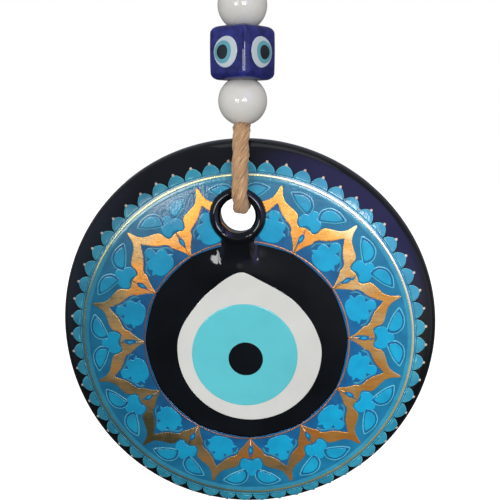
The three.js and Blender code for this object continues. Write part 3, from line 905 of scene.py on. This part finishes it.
SLIVER = [(1.3, 45.5), (3.0, 43.9), (5.2, 42.5), (7.4, 41.5), (8.5, 40.6), (8.9, 39.4), (8.9, 38.6),
          (8.0, 39.6), (7.5, 40.7), (5.2, 41.7), (3.0, 43.0), (1.5, 44.6)]
SCALLOP = [(0, 60.5), (0.45, 60.15), (1.2, 59.75), (2.1, 58.9), (2.7, 57.9), (2.93, 56.75)]


def tips():
    """The angles of the ribbon's points."""
    return [FIRST_TIP + k * SECTOR for k in range(SECTORS)]


def valleys():
    """The angles between the points; the last lies behind the rope."""
    return [tip + SECTOR / 2 for tip in tips()]


def mirror_pair(outline, middle):
    smooth = spline(outline, 5, closed=True)
    return placed(smooth, middle), placed(smooth * (-1, 1), middle)


def add_arches():
    """The deeper blue inside each arch, and the light slivers along its sides."""
    panels, slivers = Relief(), Relief()
    floor = [(14.6, 34.4), (10, 34.2), (5, 34.0), (0, 34.0)]
    for middle in tips():
        panels.add(placed(mirrored([(0, 48.6)] + RIBBON_INNER[1:-1] + floor), middle), 0.03, 0.03)
        for loop in mirror_pair(SLIVER, middle):
            slivers.add(loop, 0.05, 0.04)
    panels.piece("arch_panels", ARCH_INK, slot="print_ground")
    slivers.piece("arch_slivers", BAND_INK)


def add_ribbons():
    """The gold band that zigzags round the border, one arch for each tip."""
    ribbons, windows, seeds = Relief(), Relief(), Relief()
    right = np.vstack([spline(RIBBON_OUTER, 5), [(15, 34.8)], spline(RIBBON_INNER, 5)[::-1]])
    arch = np.vstack([right, (right * (-1, 1))[::-1][1:-1]])
    for middle in tips():
        ribbons.add(placed(arch, middle), 0.05, 0.11, 0.12)
    for middle in valleys():
        windows.add(placed(mirrored(WINDOW), middle), 0.15, 0.03, 0.06)
        seeds.add(placed(mirrored(SEED), middle), 0.17, 0.04, 0.06)
    ribbons.piece("ribbon_foil", GOLD, ("gold_star",), "gold_foil")
    windows.piece("ribbon_windows", ARCH_INK, slot="print_ground")
    seeds.piece("ribbon_seeds", TEAL_INK)


def add_motif(part, k, outline, middle, base):
    ink = Relief()
    ink.add(placed(mirrored(outline), middle), base, 0.13, 0.16)
    ink.piece(f"{part}_ink_{k:02d}", TEAL_INK, (f"{part}_{k:02d}",))


def add_motifs():
    """Palmettes in the arches, trefoils in the valleys and two leaves over each trefoil."""
    for k, middle in enumerate(tips(), 1):
        add_motif("palmette", k, PALMETTE, middle, 0.06)
    for k, middle in enumerate(valleys()[:-1], 1):
        add_motif("trefoil", k, TREFOIL, middle, 0.16)
    edge, shade, body = Relief(), Relief(), Relief()
    for middle in valleys():
        for loop in mirror_pair(LEAF, middle):
            heart = loop.mean(0)
            loop = anticlockwise(heart + (loop - heart) * 1.1)
            edge.add(loop, 0.05, 0.12, 0.15)
            shade.add(inset(loop, 0.34), 0.15, 0.03, 0.05)
            body.add(heart + (inset(loop, 0.34) - heart) * 0.82, 0.15, 0.1, 0.16)
    edge.piece("leaf_edges", EDGE_INK)
    shade.piece("leaf_shades", ARCH_INK, slot="print_ground")
    body.piece("leaf_inks", LEAF_INK, ("leaf_right_of_cord", "leaf_left_of_cord"))


def add_scallops():
    edge, ink, dots = Relief(0.7), Relief(0.7), Relief(0.7)
    for k in range(SCALLOPS):
        middle = FIRST_TIP + k * 360 / SCALLOPS
        half = spline(SCALLOP, 4)
        loop = placed(np.vstack([half, (half * (-1, 1))[::-1][:-1]]), middle, fit=False)
        loop = anticlockwise(loop)
        edge.add(loop, 0.0, 0.12, 0.1)
        ink.add(inset(loop, 0.16), 0.08, 0.12, 0.2)
        centre = polar([60.35], [middle])[0]
        spin = turns(16)
        dots.add(centre + 0.48 * np.column_stack([np.cos(spin), np.sin(spin)]),
                 0.1, 0.16, 0.14)
    edge.piece("scallop_edges", EDGE_INK)
    ink.piece("scallop_inks", SCALLOP_INK, ("scallop_border",))
    dots.piece("scallop_dots", PEARL_INK)


def add_print():
    add_print_ground()
    add_arches()
    add_ring("border_band", BAND_R, FOIL_R, 0.03, 0.04, BAND_INK)
    add_ring("border_ring_foil", FOIL_R, FOIL_OUTER_R, 0.06, 0.05, PALE_GOLD, ("gold_ring",),
             domed=True)
    field = field_edge(RING_DEGREES)
    add_ring("field_line_foil", field - 0.05, field + 0.45, 0.05, 0.1, COPPER,
             ("gold_field_line",), domed=True)
    add_ribbons()
    add_motifs()
    add_scallops()


# ---- Eye ----


def add_inlay(name, loop, centre, proud, material, replaced, dome):
    """A glass inlay: rings that shrink from its outline to its middle."""
    centre = np.asarray(centre)
    around = len(loop)
    points = []
    scales = np.concatenate([[1.0, 0.994, 0.985, 0.97], np.linspace(0.93, 0.04, 26)])
    rises = np.concatenate([[-0.06, 0.5, 0.9, 1.0], np.ones(26)])
    for scale, rise in zip(scales, rises):
        ring = centre + (loop - centre) * scale
        swell = dome * (1 - scale ** 2)
        depth = glass_depth(ring[:, 0], ring[:, 1]) - proud * rise - swell
        points.append(to_world(ring[:, 0], depth, ring[:, 1]))
    points = np.vstack(points)
    faces = grid_faces(len(scales), around, flip=True)
    middle_depth = glass_depth(centre[:1], centre[1:]) - proud - dome
    points = np.vstack([points, to_world(centre[:1], middle_depth, centre[1:])])
    faces += fan_faces(len(points) - 1, (len(scales) - 1) * around, around, flip=True)
    make_piece(name, points, faces, material, "amulet", replaced)


def circle(centre, r, count=160):
    a = turns(count)
    return np.column_stack([centre[0] + r * np.sin(a), centre[1] + r * np.cos(a)])


WHITE_MIDDLE, WHITE_R = (1.1, -4.2), 24.6
IRIS_MIDDLE, IRIS_R = (-0.4, -5.5), 18.15
PUPIL_MIDDLE, PUPIL_R = (0, -6.7), 5.95


def drop_outline():
    """Most of a circle, drawn up to a soft point a little left of its middle; clockwise."""
    x, z = WHITE_MIDDLE
    shoulders = [(24.9, 0.6), (22.1, 6.8), (17.2, 12.9), (12.8, 16.3), (8.0, 19.1), (4.6, 20.9),
                 (1.2, 22.8), (-1.2, 23.55), (-3.7, 22.9), (-7.3, 20.7), (-10.6, 18.0),
                 (-14.9, 14.0), (-20.6, 6.3), (-23.0, 0.6)]
    below = [(x + WHITE_R * math.cos(a), z + WHITE_R * math.sin(a))
             for a in np.radians(np.arange(178, 370, 8))]
    return anticlockwise(spline(shoulders + below, 6, closed=True))[::-1]


def add_eye():
    add_inlay("eye_white_glass", drop_outline(), WHITE_MIDDLE, 0.05, WHITE_GLASS,
              ("eye_white",), dome=0.10)
    add_inlay("eye_iris_glass", circle(IRIS_MIDDLE, IRIS_R), IRIS_MIDDLE, 0.20, IRIS_GLASS,
              ("eye_iris",), dome=0.05)
    add_inlay("eye_pupil_glass", circle(PUPIL_MIDDLE, PUPIL_R), PUPIL_MIDDLE, 0.30, DARK_GLASS,
              ("eye_pupil",), dome=0.04)


# ---- Beads ----


BEAD_R = 7.95
BEAD_BORE = 4.1
BEAD_LIP = 0.4


def bead_profile(top, bottom):
    """Radius and height round a bead's section, from the top of its bore round to its top."""
    low_mouth, high_mouth = (math.sqrt(BEAD_R ** 2 - end ** 2) for end in (bottom, top))
    throat, throat_z = min(BEAD_BORE, low_mouth - 0.15), 3 - top
    profile = [(BEAD_BORE, z) for z in np.linspace(top - BEAD_LIP, throat_z, 8)]
    for a in np.linspace(0, math.pi / 2, 9)[1:]:
        profile.append((throat + (BEAD_BORE - throat) * math.cos(a),
                        throat_z - (bottom - BEAD_LIP + throat_z) * math.sin(a)))
    for a in np.linspace(0, math.pi / 2, 6)[1:-1]:
        profile.append((low_mouth - (low_mouth - throat) * math.cos(a),
                        -bottom + BEAD_LIP * (1 - math.sin(a))))
    for a in np.linspace(-math.asin(bottom / BEAD_R), math.asin(top / BEAD_R), 56):
        profile.append((BEAD_R * math.cos(a), BEAD_R * math.sin(a)))
    for a in np.linspace(math.pi / 2, 0, 6)[1:-1]:
        profile.append((high_mouth - (high_mouth - BEAD_BORE) * math.cos(a),
                        top - BEAD_LIP * (1 - math.sin(a))))
    return profile


def add_round_bead(node, seed, closing=0.0):
    """A round glass bead; closing draws its lower mouth in towards the rope."""
    low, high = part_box(node)
    top = (high[2] - low[2]) / 2 / MM + 0.45
    profile = bead_profile(top, top + closing)
    rng = np.random.default_rng(seed)
    around = 128
    a = turns(around)
    wobble = (1 + 0.006 * np.sin(2 * a + rng.uniform(0, 6))
              + 0.004 * np.sin(3 * a + rng.uniform(0, 6)))
    points = []
    for r, z in profile:
        radius = r * (wobble if r > 5 else 1)
        points.extend(np.column_stack([radius * np.cos(a), radius * np.sin(a), np.full(around, z)]))
    points = np.array(points) * MM + (0, 0, middle(node)[2])
    faces = grid_faces(len(profile), around, wrap_rows=True)
    make_piece(f"{node}_glass", points, faces, BEAD_GLASS, node, (node,))


CUBE_POWER = 8
CUBE_HALF_W = 7.95
CUBE_HALF_H = 8.35
CUBE_EDGE = 2.2
CUBE_LIP = 0.8
# Each eye's glass drops: part, sideways shift, radius, base, rise, material, slot.
CUBE_DOTS = [
    ("white", 0, 4.9, 0.02, 0.28, CUBE_WHITE_GLASS, "white_glass"),
    ("iris", 0.9, 3.65, 0.20, 0.2, CUBE_IRIS_GLASS, "iris_glass"),
    ("pupil", 1.08, 2.35, 0.34, 0.16, CUBE_PUPIL_GLASS, "dark_glass"),
]


def cube_face(z):
    """How far a face of the cube stands out at a height from its middle: it bulges a little."""
    return CUBE_HALF_W * (1 + 0.018 * (1 - (np.asarray(z) / CUBE_HALF_H) ** 2))


def cube_outline(half, a):
    """A square with rounded corners, as a radius for each angle."""
    total = np.abs(np.cos(a)) ** CUBE_POWER + np.abs(np.sin(a)) ** CUBE_POWER
    return half / total ** (1 / CUBE_POWER)


def cube_turn():
    """The cube's turn about the rope: the direction of its first eye from its middle."""
    x, y, _ = middle("cube_eye_white_1")
    return math.atan2(y, x) + math.pi / 2


def add_cube_bead():
    low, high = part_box("cube_bead")
    middle_z = (low[2] + high[2]) / 2
    half_h = (high[2] - low[2]) / 2 / MM
    around = 224
    u = turns(around)
    a = u + 0.19 * np.sin(4 * u)
    rings = []

    def bore(radius, z):
        rings.append((np.full(around, radius), z))

    def mouth(c, end):
        bore(BEAD_BORE + CUBE_LIP * (1 - math.cos(c)),
             end * (half_h - CUBE_LIP * (1 - math.sin(c))))

    def skin(inset_by, z, blend=1.0):
        outer = cube_outline(CUBE_HALF_W - inset_by, a)
        rings.append((BEAD_BORE + (outer - BEAD_BORE) * blend, z))

    def corner(c, end):
        skin(CUBE_EDGE * (1 - math.sin(c)), end * (half_h - CUBE_EDGE * (1 - math.cos(c))))

    mouth_turns = np.linspace(0, math.pi / 2, 6)[1:]
    corner_turns = np.linspace(0, math.pi / 2, 12)
    for z in np.linspace(half_h - CUBE_LIP, -half_h + CUBE_LIP, 8):
        bore(BEAD_BORE, z)
    for c in mouth_turns:
        mouth(c, -1)
    for t in np.linspace(0.25, 1, 7):
        skin(CUBE_EDGE, -half_h, t)
    for c in corner_turns[1:]:
        corner(c, -1)
    for z in np.linspace(-half_h + CUBE_EDGE, half_h - CUBE_EDGE, 20)[1:]:
        skin(0, z)
    for c in corner_turns[-2::-1]:
        corner(c, 1)
    for t in np.linspace(1, 0.25, 7)[1:]:
        skin(CUBE_EDGE, half_h, t)
    for c in mouth_turns[::-1]:
        mouth(c, 1)
    turn = cube_turn()
    points = []
    for radius, z in rings:
        bulge = cube_face(z) / CUBE_HALF_W
        radius = np.where(radius > BEAD_BORE + 1, radius * bulge, radius)
        points.append(np.column_stack([radius * np.cos(a + turn), radius * np.sin(a + turn),
                                       np.full(around, z)]))
    points = np.vstack(points) * MM + (0, 0, middle_z)
    faces = grid_faces(len(rings), around, wrap_rows=True)
    make_piece("cube_bead_glass", points, faces, COBALT_GLASS, "cube_bead", ("cube_bead",))
    for k in range(4):
        side = 1 if k % 2 == 0 else -1
        for part, shift, radius, base, rise, material, slot in CUBE_DOTS:
            add_cube_dot(f"cube_{part}_{k + 1}", turn + k * math.pi / 2, middle_z, side * shift,
                         radius, base, rise, material, f"cube_eye_{part}_{k + 1}")


def add_cube_dot(name, turn, middle_z, shift, radius, base, rise, material, node):
    """A low dome with a softly irregular edge on the face whose outward direction is -Y turned."""
    around = 72
    a = turns(around)
    edge = radius * (1 + 0.02 * np.sin(2 * a + 1.3 * turn) + 0.015 * np.sin(3 * a + turn))
    across = np.array([math.cos(turn), math.sin(turn), 0])
    out = np.array([math.sin(turn), -math.cos(turn), 0])
    points = []
    scales = np.concatenate([[1.0, 0.985, 0.96, 0.92], np.linspace(0.86, 0.08, 14)])
    for s in scales:
        x, z = shift + edge * s * np.cos(a), edge * s * np.sin(a)
        proud = base * min(1, (1 - s) * 30) + rise * math.sqrt(1 - s * s) - (0.12 if s == 1 else 0)
        level = cube_face(z) + 0.04 + proud
        points.append(out * level[:, None] + x[:, None] * across + z[:, None] * (0, 0, 1))
    points.append((out * (cube_face(0) + 0.04 + base + rise) + across * shift)[None, :])
    points = np.vstack(points) * MM + (0, 0, middle_z)
    faces = grid_faces(len(scales), around)
    faces += fan_faces(len(points) - 1, (len(scales) - 1) * around, around)
    make_piece(name, points, faces, material, "cube_bead", (node,))


# ---- Scene ----


def add_floor():
    mesh = bpy.data.meshes.new("floor")
    size, height = 6.0, -0.62
    mesh.from_pydata([(-size, -size, height), (size, -size, height), (size, size, height),
                      (-size, size, height)], [], [(0, 1, 2, 3)])
    floor = bpy.data.objects.new("floor", mesh)
    bpy.context.collection.objects.link(floor)
    shader = Shader("floor_paper", (0.93, 0.93, 0.93), 0.9)
    tones = [(0.4, (0.92, 0.92, 0.92)), (0.6, (0.95, 0.95, 0.95))]
    shader.set(Base_Color=shader.ramp(shader.noise(3, 2), tones), Specular_IOR_Level=0.0,
               Emission_Color=(1, 1, 1, 1), Emission_Strength=0.75)
    mesh.materials.append(shader.material)
    floor.visible_glossy = False
    floor.visible_diffuse = False


add_camera()
add_rope()
add_studio()
add_floor()
add_glass_body()
add_print()
add_eye()
add_round_bead("lower_bead", 2, 0.55)
add_round_bead("upper_bead", 4)
add_cube_bead()
